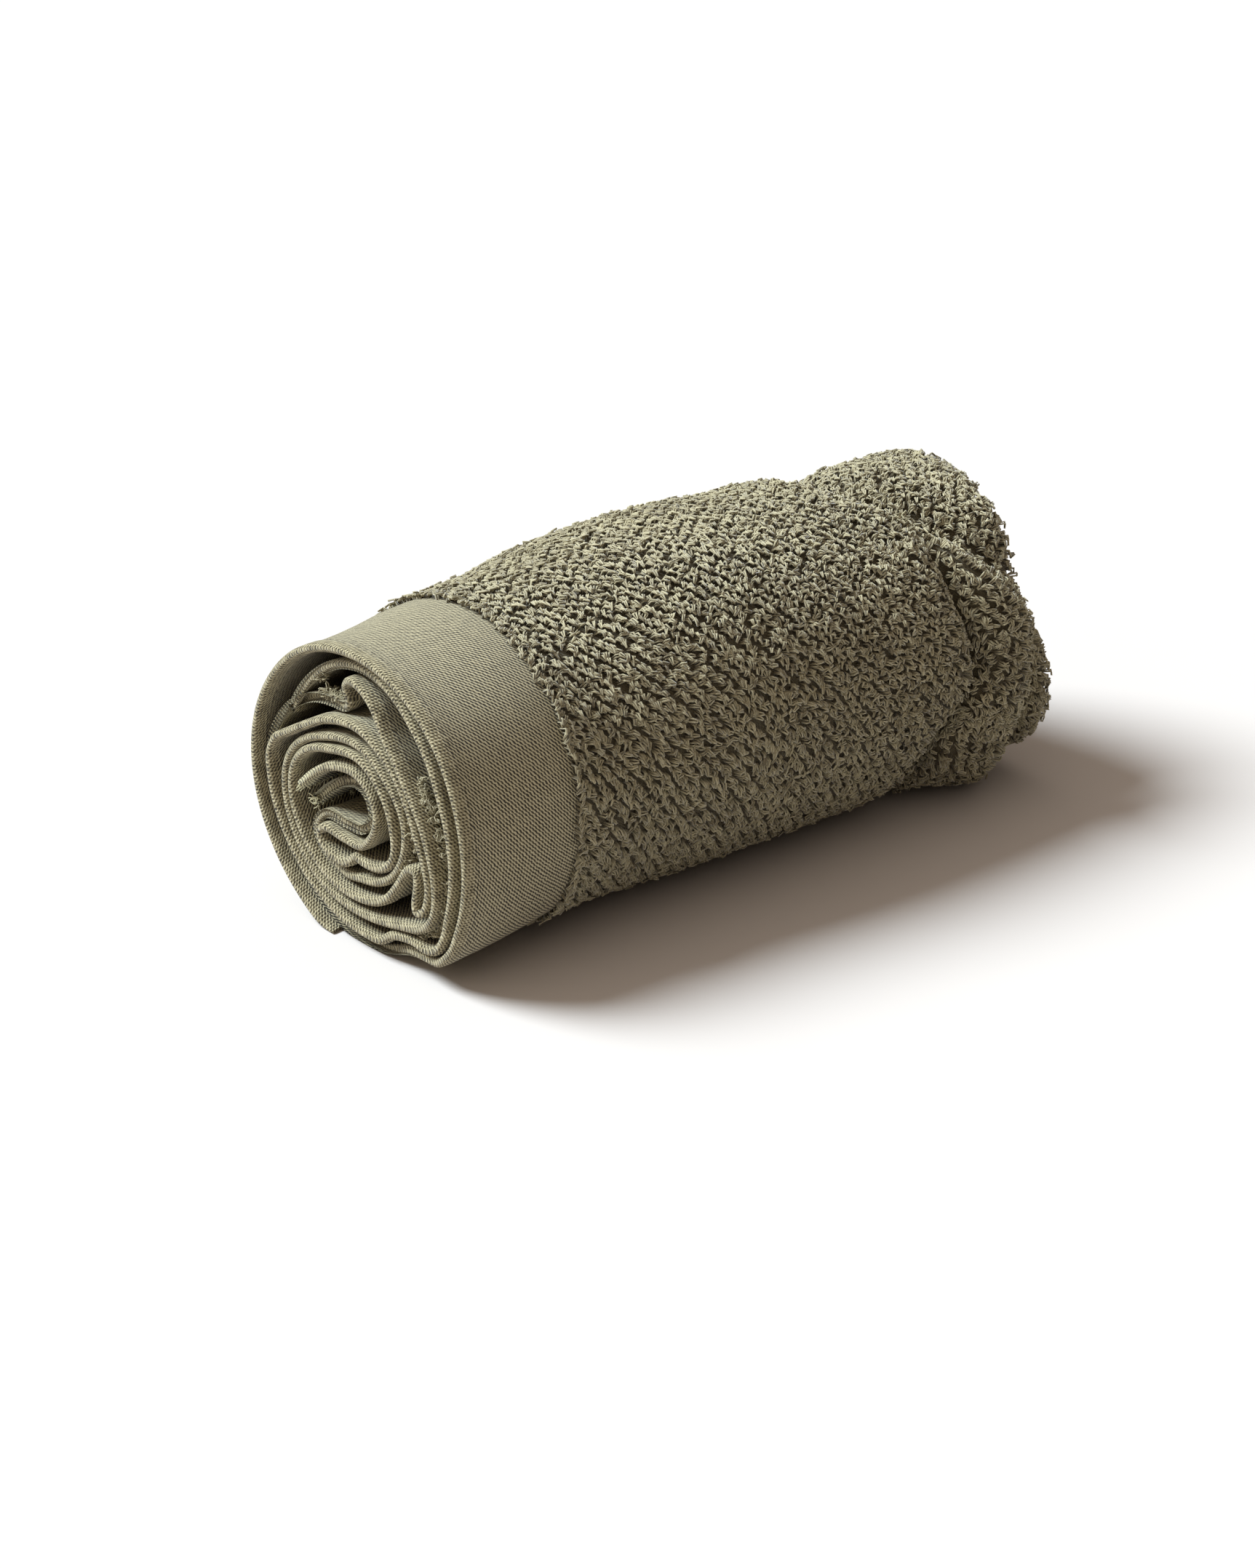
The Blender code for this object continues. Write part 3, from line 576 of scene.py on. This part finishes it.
def drift(a, b, size):
    """A few slow waves over two lengths in millimetres, about -1 to 1."""
    return sum(np.sin((a * kx + b * ky) / size + phase * 7 + more)
               for kx, ky, phase, more in ripples) / 3.5


outer_grid = rings[:, :rail]
fold_run = run_of(fold_line(place)[0])
face_rows = (rail - len(BEND_ROWS)) // 2


def row_at(s, f):
    """A row between two stations: its points, the way across it, and how far along each is."""
    line = outer_grid[s] * (1 - f) + outer_grid[s + 1] * f
    return line, outer_grid[s + 1] - outer_grid[s], run_of(line) / MM


tufts = []
rows_along = np.arange(0.8, fold_run[-1] - 0.3, TUFT_ROWS)
row_lengths = [(length, False) for length in rows_along]
row_lengths += [(length + TUFT_ROWS / 2, True) for length in rows_along[:-1]]
for number, (length, only_flared) in enumerate(row_lengths):
    s = np.searchsorted(fold_run, length) - 1
    f = (length - fold_run[s]) / (fold_run[s + 1] - fold_run[s])
    line, across, run_mm = row_at(s, f)
    line_x = line[:, 0] / MM + ROLL_MIDDLE_X
    bend_start, bend_end = run_mm[face_rows], run_mm[face_rows + len(BEND_ROWS) - 1]
    band_end = np.interp(BAND_WIDTH, line_x[:face_rows], run_mm[:face_rows])
    spread = np.linalg.norm(across, axis=1) / MM / (fold_run[s + 1] - fold_run[s])
    flared = np.flatnonzero(spread[ROWS_NEAR_HEM:rail - ROWS_NEAR_HEM] > FLARED) + ROWS_NEAR_HEM
    if only_flared and not len(flared):
        continue
    if place[s] >= OUTERMOST:
        begin, end = band_end, bend_end + 1.0
    elif place[s] >= END_SHOWS:
        cover = np.interp(place[s] + COVERED_BY, place, tip)
        begin = np.interp(cover - 0.8, line_x[:face_rows], run_mm[:face_rows])
        end = bend_end + 1.0
    else:
        begin, end = bend_start - 2.0, bend_end + 1.0
    if only_flared:
        begin, end = max(begin, run_mm[flared[0]]), min(end, run_mm[flared[-1]])
    first = band_end + (TUFT_SHIFT * number) % TUFT_PITCH
    at = first + TUFT_PITCH * np.arange(-1, 60)
    at = at[(at > begin + 0.2) & (at < end)]
    # A tuft fills a wide space beside the band, so that the pile's edge is full
    spare = at.min() - begin if len(at) else 0.0
    if spare > TUFT_PITCH / 2 and place[s] >= OUTERMOST and not only_flared:
        at = np.r_[begin + 0.5, at]
    # Down in the gather no loops are drawn, so that the ground's painted shade shows as a dark line
    across_mm = ROLL_MIDDLE_W - np.interp(at, run_mm, line[:, 1]) / MM
    up_mm = np.interp(at, run_mm, line[:, 2]) / MM + FLOOR - BODY_CENTRE_HEIGHT
    gather_x, depth = gather_at(np.degrees(np.arctan2(up_mm, across_mm)))
    from_gather = np.abs(np.interp(at, run_mm, line_x) - gather_x)
    at = at[(depth < GATHER_SHUT) | (from_gather > GATHER_SLIT)]
    for tuft in at:
        nudge = rng.normal(0.0, TUFT_NUDGE)
        for leg in range(5 if rng.random() < FULL_TUFTS else 4):
            tufts.append((s, f, tuft + nudge, length, leg, begin, (bend_start + bend_end) / 2))
station, share, at_mm, length_mm, leg, begin_mm, fold_mm = np.array(tufts).T
station, leg = station.astype(int), leg.astype(int)
count = len(tufts)
base, along, side, normal = (np.empty((count, 3)) for _ in range(4))
for s in np.unique(station):
    here = station == s
    line, across, run_mm = row_at(s, share[here][0])
    point, ahead, behind, sideways = (
        np.stack([np.interp(at_mm[here] + step, run_mm, values[:, k]) for k in range(3)], axis=1)
        for step, values in ((0.0, line), (0.5, line), (-0.5, line), (0.0, across)))
    run_way = (ahead - behind) / np.linalg.norm(ahead - behind, axis=1)[:, None]
    out = np.cross(run_way, sideways)
    out /= np.linalg.norm(out, axis=1)[:, None]
    base[here], along[here], side[here], normal[here] = point, run_way, np.cross(out, run_way), out

# How each tuft lies: combed along the roll on top, hanging at the sides, and never quite alike.
# A tuft beside the band leans back over the band's edge.
COMBED_ON_TOP, COMBED_AT_SIDES, HANGS = 0.5, 0.12, (0.0, -0.7, -1.0)
BAND_EDGE, LEANS_BACK = 1.6, -0.8
tuft_id = at_mm * 3.1 + length_mm * 7.7


def own(kind, spread):
    """A chance value that all the loops of one tuft share."""
    return np.array([np.random.default_rng(int(abs(v) * 1000) + kind).normal(0.0, spread)
                     for v in tuft_id])


outermost = place[station] >= OUTERMOST
level = np.clip(normal[:, 2], 0.0, 1.0)
at_band = (at_mm - begin_mm < BAND_EDGE) & outermost
comb_along = np.where(at_band, LEANS_BACK, COMBED_ON_TOP * level + COMBED_AT_SIDES)
hang = side @ np.array(HANGS)
turn = 0.42 * drift(at_mm, length_mm, 9.0) + 0.25 * drift(length_mm, at_mm, 4.0) + own(1, 0.22)
lie = along * comb_along[:, None] + side * hang[:, None]
lie /= np.linalg.norm(lie, axis=1)[:, None]
beside = np.cross(normal, lie)
lie = lie * np.cos(turn)[:, None] + beside * np.sin(turn)[:, None]
beside = np.cross(normal, lie)
leg_on, leg_beside, leg_turn, leg_height = np.array(CURLS)[leg].T
middle = (lie * (leg_on + own(2, 0.2) + rng.normal(0.0, 0.2, count))[:, None]
          + beside * (leg_beside + rng.normal(0.0, 0.14, count))[:, None])
# Towards the fold the pile is ruffled, and reads as round grains
ruffled = ramp(*RUFFLED, base[:, 0] / MM + ROLL_MIDDLE_X)
turn = rng.normal(0.0, 0.5, count) * (1 + ruffled) + leg_turn
lie = lie * np.cos(turn)[:, None] + beside * np.sin(turn)[:, None]
beside = np.cross(normal, lie)

# Each loop's line: out along one leg of the profile and back along the other, no two alike
legs = np.array([row + (1.0,) for row in PROFILE] + [row + (-1.0,) for row in PROFILE[::-1]])
out_share, rise, gap = legs[:, 0], legs[:, 1], legs[:, 2] * legs[:, 3]
size = rng.normal(1.0, 0.12, (count, 1)).clip(0.7, 1.35)
tall = (rng.normal(1.0, 0.15, (count, 1)).clip(0.6, 1.4)
        * (1.0 + 0.12 * drift(at_mm, length_mm, 6.0)[:, None]))
tall = tall * (1.0 + 0.45 * ramp(0.35, 0.85, normal[:, 0]))[:, None]
curl = rng.uniform(0.15, 1.25, (count, 1))
twist = rng.normal(0.0, 0.8, (count, 1)) * out_share
leg_gap_mm = LEG_GAP / 2 * rng.normal(1.0, 0.15, (count, 1)).clip(0.6, 1.4) * gap
forward = LOOP_LENGTH * size * (1 - 0.15 * ruffled[:, None]) * (out_share - 0.45)
height_mm = (LOOP_HEIGHT * leg_height[:, None] * tall
             * (rise * np.where(out_share > 0.8, 1 + (curl - 0.8) * 0.45, 1.0)))
height_mm = height_mm + leg_gap_mm * np.sin(twist)
aside = leg_gap_mm * np.cos(twist) + 0.2 * rng.normal(0.0, 1.0, (count, 1)) * out_share
loops = base[:, None] + MM * (
    middle[:, None] + lie[:, None] * forward[..., None] + beside[:, None] * aside[..., None]
    + normal[:, None] * height_mm[..., None])
lowest = YARN / 2 * MM
loops[..., 2] = lowest + PRESSED * MM * np.logaddexp(0.0, (loops[..., 2] - lowest) / (PRESSED * MM))
# How pale each loop is: its tone varies at random, the fold's outermost ridge gets a painted
# highlight, the pile tucked in behind it gets painted shade, and every loop is painted paler where
# it stands proud
TINT, TINT_SPREAD, PAINTED_TOP_LIGHT, TOP_FROM = 0.66, 0.15, 0.55, 0.7
RIDGE_PAINTED_HIGHLIGHT, RIDGE_WIDTH, TUCKED_PAINTED_SHADE, TUCKED_WIDTH = 0.22, 3.0, 0.3, 2.5
tone_with_painted_light = rng.normal(TINT, TINT_SPREAD, count) + own(3, 0.07)
tone_with_painted_light = tone_with_painted_light + 0.07 * drift(at_mm, length_mm, 5.0)
# Painted highlight on the fold's outermost ridge, and painted shade on the pile tucked in behind it
tone_with_painted_light += np.where(outermost, RIDGE_PAINTED_HIGHLIGHT * np.exp(-((at_mm - fold_mm) / RIDGE_WIDTH) ** 2),
                 -TUCKED_PAINTED_SHADE * np.exp(-(at_mm - begin_mm) / TUCKED_WIDTH))
# Painted light and shade by height: each loop is made paler at its top and darker down its legs
tones_with_painted_light = np.clip(tone_with_painted_light[:, None] + PAINTED_TOP_LIGHT * (np.clip(rise, 0, 1) - TOP_FROM), 0.0, 1.0)

# Soft carded yarn in loops: matt, with a little down that catches the light at a slant. Its colour
# has a painted highlight where the loops stand proud and painted shade down in the pile
terry = bpy.data.materials.new("olive terry yarn")
terry.use_nodes = True
tree = terry.node_tree
shader = tree.nodes["Principled BSDF"]
tinted = add_node(tree, "ShaderNodeAttribute", {"attribute_name": "yarn_tone_and_painted_light"})
yarn_colour = add_node(tree, "ShaderNodeValToRGB", i0=tinted.outputs["Fac"])
yarn_colour.color_ramp.elements[0].color = colour("#4d3f29")
yarn_colour.color_ramp.elements[1].color = colour("#aea485")
tree.links.new(yarn_colour.outputs[0], shader.inputs["Base Color"])
shader.inputs["Roughness"].default_value = 0.95
shader.inputs["Specular IOR Level"].default_value = 0.25
shader.inputs["Sheen Weight"].default_value = 0.3
shader.inputs["Sheen Roughness"].default_value = 0.5

# The tree that spins yarn round a line: the line, the yarn's radius and how many sides it has
yarn_tree = bpy.data.node_groups.new("yarn round a line", "GeometryNodeTree")
for label, kind, way in (("Line", "NodeSocketGeometry", "INPUT"),
                         ("Radius", "NodeSocketFloat", "INPUT"),
                         ("Sides", "NodeSocketInt", "INPUT"),
                         ("Material", "NodeSocketMaterial", "INPUT"),
                         ("Yarn", "NodeSocketGeometry", "OUTPUT")):
    yarn_tree.interface.new_socket(label, in_out=way, socket_type=kind)
given = yarn_tree.nodes.new("NodeGroupInput")
spline = add_node(yarn_tree, "GeometryNodeMeshToCurve", i0=given.outputs["Line"])
outline = add_node(yarn_tree, "GeometryNodeCurvePrimitiveCircle",
                   Resolution=given.outputs["Sides"], Radius=given.outputs["Radius"])
spun = add_node(yarn_tree, "GeometryNodeCurveToMesh",
                Curve=spline.outputs[0], Profile_Curve=outline.outputs[0], Fill_Caps=True)
smooth = add_node(yarn_tree, "GeometryNodeSetShadeSmooth", i0=spun.outputs[0])
real = add_node(yarn_tree, "GeometryNodeRealizeInstances", i0=smooth.outputs[0])
finished = add_node(yarn_tree, "GeometryNodeSetMaterial",
                    Geometry=real.outputs[0], Material=given.outputs["Material"])
add_node(yarn_tree, "NodeGroupOutput", i0=finished.outputs[0])


def yarn_piece(name, lines, line_tones_and_painted_light, thickness, sides, material):
    """A plain mesh of yarns, spun round lines that all have the same number of points."""
    mesh = bpy.data.meshes.new(name + "_lines")
    order = np.arange(lines.shape[0] * lines.shape[1]).reshape(lines.shape[:2])
    edges = np.stack([order[:, :-1], order[:, 1:]], axis=-1).reshape(-1, 2)
    mesh.vertices.add(order.size)
    mesh.vertices.foreach_set("co", lines.astype(np.float32).ravel())
    mesh.edges.add(len(edges))
    mesh.edges.foreach_set("vertices", edges.astype(np.int32).ravel())
    tint_attribute = mesh.attributes.new("yarn_tone_and_painted_light", "FLOAT", "POINT")
    tint_attribute.data.foreach_set("value", line_tones_and_painted_light.astype(np.float32).ravel())
    carrier = bpy.data.objects.new(name + "_lines", mesh)
    bpy.context.scene.collection.objects.link(carrier)
    spinning = carrier.modifiers.new("yarn", "NODES")
    spinning.node_group = yarn_tree
    given_values = {"Radius": thickness / 2 * MM, "Sides": sides, "Material": material}
    for item in yarn_tree.interface.items_tree:
        if item.name in given_values:
            spinning[item.identifier] = given_values[item.name]
    evaluated = carrier.evaluated_get(bpy.context.evaluated_depsgraph_get())
    spun_mesh = bpy.data.meshes.new_from_object(evaluated)
    bpy.data.objects.remove(carrier)
    spun_mesh.name = name
    piece = bpy.data.objects.new(name, spun_mesh)
    bpy.context.scene.collection.objects.link(piece)
    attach(piece, "root")
    return piece


pile = [yarn_piece(f"terry_pile_{number + 1}", loops[chunk], tones_with_painted_light[chunk], YARN, 3, terry)
        for number, chunk in enumerate(np.array_split(np.arange(count), PILE_PIECES))]

# Curls of pile that the turns have squeezed out, and that show in the dark gaps between them at
# the hems. They are the same looped yarn, caught by its feet in the ground weave behind the band,
# and one tuft stands at the end of the tuck on top.
GAP_RUNS = (
    # from place, to place, how far apart the tufts stand in millimetres
    (2.13, 2.44, 0.7), (1.08, 1.40, 0.9), (0.10, 0.40, 1.2),
)
# The row that they stand on, the yarn, how many to a tuft, and how far off the cloth they start
GAP_ROW, CURL_YARN, GAP_CURLS, FURTHEST_FOOT = 4, 0.2, 4, 0.7
TUCK_TUFT, TUCK_SPREAD, TUCK_CURLS = np.array((-72.3, 8.2, 49.2)), (0.8, 1.6, 0.9), 16
inner_in, outer_out = rings[:, rail - 1 - GAP_ROW], rings[:, GAP_ROW]
wanted = []
for from_place, to_place, apart in GAP_RUNS:
    first, last = np.searchsorted(place, (from_place, to_place))
    travelled = run_of(inner_in[first:last]) / MM
    for length in np.sort(rng.uniform(0.0, travelled[-1], int(travelled[-1] / apart))):
        wanted.append([np.interp(length, travelled, inner_in[first:last, k]) for k in range(3)])
grown_from = [outer_out] * len(wanted)
wanted += list(TUCK_TUFT * MM + rng.normal(0.0, MM, (TUCK_CURLS, 3)) * TUCK_SPREAD)
all_faces = (GAP_ROW, rail - 1 - GAP_ROW, rail + GAP_ROW, ring - 1 - GAP_ROW)
grown_from += [rings[:, all_faces].reshape(-1, 3)] * TUCK_CURLS
gap_middles, gap_ways = [], []
for point, cloth_points in zip(wanted, grown_from):
    distance = np.linalg.norm(cloth_points - point, axis=1)
    foot = cloth_points[np.argmin(distance)]
    way = (np.array(point) - foot) / max(distance.min(), 1e-6)
    gap_middles.append(foot + way * min(distance.min() / 2, FURTHEST_FOOT * MM))
    gap_ways.append(way)
gap_middles, gap_ways = (np.repeat(rows, GAP_CURLS, axis=0) for rows in (gap_middles, gap_ways))
curls = len(gap_middles)
gap_lie = np.c_[np.full(curls, -1.0), np.zeros((curls, 2))] + rng.normal(0.0, 0.75, (curls, 3))
gap_lie /= np.linalg.norm(gap_lie, axis=1)[:, None]
gap_beside = np.cross(gap_lie, gap_ways)
gap_beside /= np.linalg.norm(gap_beside, axis=1)[:, None]
feet = (gap_middles + gap_beside * rng.normal(0.0, 0.4 * MM, (curls, 1))
        + gap_lie * rng.normal(0.0, 0.7 * MM, (curls, 1)))
twist = rng.uniform(-1.3, 1.3, (curls, 1))
wide = rng.uniform(0.2, 0.45, (curls, 1)) * gap
curl_lines = feet[:, None] + MM * (
    gap_lie[:, None] * (rng.uniform(0.5, 1.7, (curls, 1)) * out_share)[..., None]
    + gap_beside[:, None] * (wide * np.cos(twist))[..., None]
    + gap_ways[:, None] * (
        wide * np.sin(twist) + rng.normal(0.0, 0.6, (curls, 1)) * rise)[..., None])
# The curls are painted paler than the pile's own yarn: a painted highlight where they catch the
# light in the gaps
painted_lit_curl_tints = np.repeat(rng.uniform(0.85, 1.1, (curls, 1)), len(PROFILE) * 2, axis=1)
gap_curls = yarn_piece("gap_curls", curl_lines, painted_lit_curl_tints, CURL_YARN, 4, terry)

# The side edge that starts the roll, at the heart: the towel was cut along it, and the threads of
# both layers have frayed out there into pale loose ends, each still held by the weave.
FRAY_THREADS, FRAY_LENGTH, FRAY_YARN, FRAY_STEPS = 240, (0.6, 2.4), 0.2, 4
FRAY_FROM, INNER_SHARE = (0.6, 12.0), 0.6
# Loose ends of cut cotton: matt and downy as the yarn is, but thin and pale against the gaps
cut_ends = bpy.data.materials.new("pale cut cotton")
cut_ends.use_nodes = True
shader = cut_ends.node_tree.nodes["Principled BSDF"]
shader.inputs["Base Color"].default_value = colour("#cfc8a2")
shader.inputs["Roughness"].default_value = 0.95
shader.inputs["Sheen Weight"].default_value = 0.3
edge_middle = (rings[0, :rail] + rings[0, ring - 1:rail - 1:-1]) / 2
edge_away = rings[0, :rail] - rings[1, :rail]
edge_away /= np.linalg.norm(edge_away, axis=1)[:, None]
edge_run = run_of(edge_middle) / MM
starts = rng.uniform(*FRAY_FROM, FRAY_THREADS)
starts = np.where(rng.random(FRAY_THREADS) < INNER_SHARE, edge_run[-1] - starts, starts)
root, away = (np.stack([np.interp(starts, edge_run, values[:, k]) for k in range(3)], axis=1)
              for values in (edge_middle, edge_away))
step_mm = rng.uniform(*FRAY_LENGTH, (FRAY_THREADS, 1)) / FRAY_STEPS
heading = away + rng.normal(0.0, 0.35, (FRAY_THREADS, 3)) + np.array((-0.2, 0.0, 0.1))
fray = [root - away * 0.5 * MM + rng.normal(0.0, 0.3 * MM, (FRAY_THREADS, 3))]
for _ in range(FRAY_STEPS):
    heading = heading + rng.normal(0.0, 0.42, (FRAY_THREADS, 3)) + np.array((0.0, 0.0, -0.12))
    heading /= np.linalg.norm(heading, axis=1)[:, None]
    fray.append(fray[-1] + heading * step_mm * MM)
fray = np.stack(fray, axis=1)
frayed_edge = yarn_piece("frayed_edge", fray, np.ones(fray.shape[:2]), FRAY_YARN, 3, cut_ends)


# The floor: plain white card, matt and uncoated, laid flat just under the roll. It is wide
# enough that its far edge stays out of most views.
FLOOR_HALF, FLOOR_DROP_MM = 15.0, 0.3
card = bpy.data.materials.new("white card")
card.use_nodes = True
card.node_tree.nodes["Principled BSDF"].inputs["Base Color"].default_value = colour("#cbc3be")
card.node_tree.nodes["Principled BSDF"].inputs["Roughness"].default_value = 0.9
floor_corners = np.array([(x * FLOOR_HALF, y * FLOOR_HALF, -FLOOR_DROP_MM * MM)
                          for x, y in ((-1, -1), (1, -1), (1, 1), (-1, 1))])
floor = mesh_from("floor", floor_corners, np.array([(0, 1, 2, 3)]), card)

# The light: a broad soft window on the upper left, which is the main light, a faint wide light
# from the ceiling, and a dim warm room round them.
ROOM_LIGHT = 0.17
LIGHTS = (
    # name, strength, width in degrees, colour, where it comes from
    ("window", 6.9, 28, "#e8f6ff", (-0.48, 0.56, 0.80)),
    ("ceiling", 0.9, 100, "#fff0e0", (-0.40, -0.05, 1.0)),
)
room = bpy.data.worlds.new("warm room")
room.use_nodes = True
room.node_tree.nodes["Background"].inputs["Color"].default_value = colour("#fff0e0")
room.node_tree.nodes["Background"].inputs["Strength"].default_value = ROOM_LIGHT
bpy.context.scene.world = room
bpy.context.scene.view_settings.view_transform = "Standard"
for name, strength, width, code, comes_from in LIGHTS:
    light = bpy.data.lights.new(name, "SUN")
    light.energy, light.angle, light.color = strength, math.radians(width), colour(code)[:3]
    lamp = bpy.data.objects.new(name, light)
    lamp.rotation_euler = (-Vector(comes_from)).to_track_quat("-Z", "Y").to_euler()
    bpy.context.scene.collection.objects.link(lamp)

# The camera: a long lens from above the hemmed end, looking along the roll from its left. It is
# placed so that the middle of the near end falls on its own pixel of the frame.
AZIMUTH, ELEVATION, ROLL = math.radians(-40), math.radians(24.5), math.radians(-0.3)
NEAR_END, NEAR_END_DISTANCE = Vector((-0.07776, -0.00385, 0.02991)), 0.984
NEAR_END_PIXEL, FRAME = (489, 1110), (1725, 2156)
LENS, SENSOR = 120.0, 36.0
focal_px = LENS / SENSOR * FRAME[1]
backward = Vector((math.sin(AZIMUTH) * math.cos(ELEVATION),
                   -math.cos(AZIMUTH) * math.cos(ELEVATION), math.sin(ELEVATION)))
level_right = Vector((math.cos(AZIMUTH), math.sin(AZIMUTH), 0.0))
level_up = backward.cross(level_right)
right = math.cos(ROLL) * level_right - math.sin(ROLL) * level_up
up = math.sin(ROLL) * level_right + math.cos(ROLL) * level_up
across_m = (NEAR_END_PIXEL[0] - FRAME[0] / 2) / focal_px * NEAR_END_DISTANCE
up_m = (FRAME[1] / 2 - NEAR_END_PIXEL[1]) / focal_px * NEAR_END_DISTANCE
camera_data = bpy.data.cameras.new("camera")
camera_data.lens = LENS
camera_data.sensor_width = SENSOR
camera_data.clip_start = 0.05
camera = bpy.data.objects.new("camera", camera_data)
position = NEAR_END - right * across_m - up * up_m + backward * NEAR_END_DISTANCE
turned_to = Matrix((right, up, backward)).transposed().to_4x4()
camera.matrix_world = Matrix.Translation(position) @ turned_to
bpy.context.scene.collection.objects.link(camera)
bpy.context.scene.camera = camera
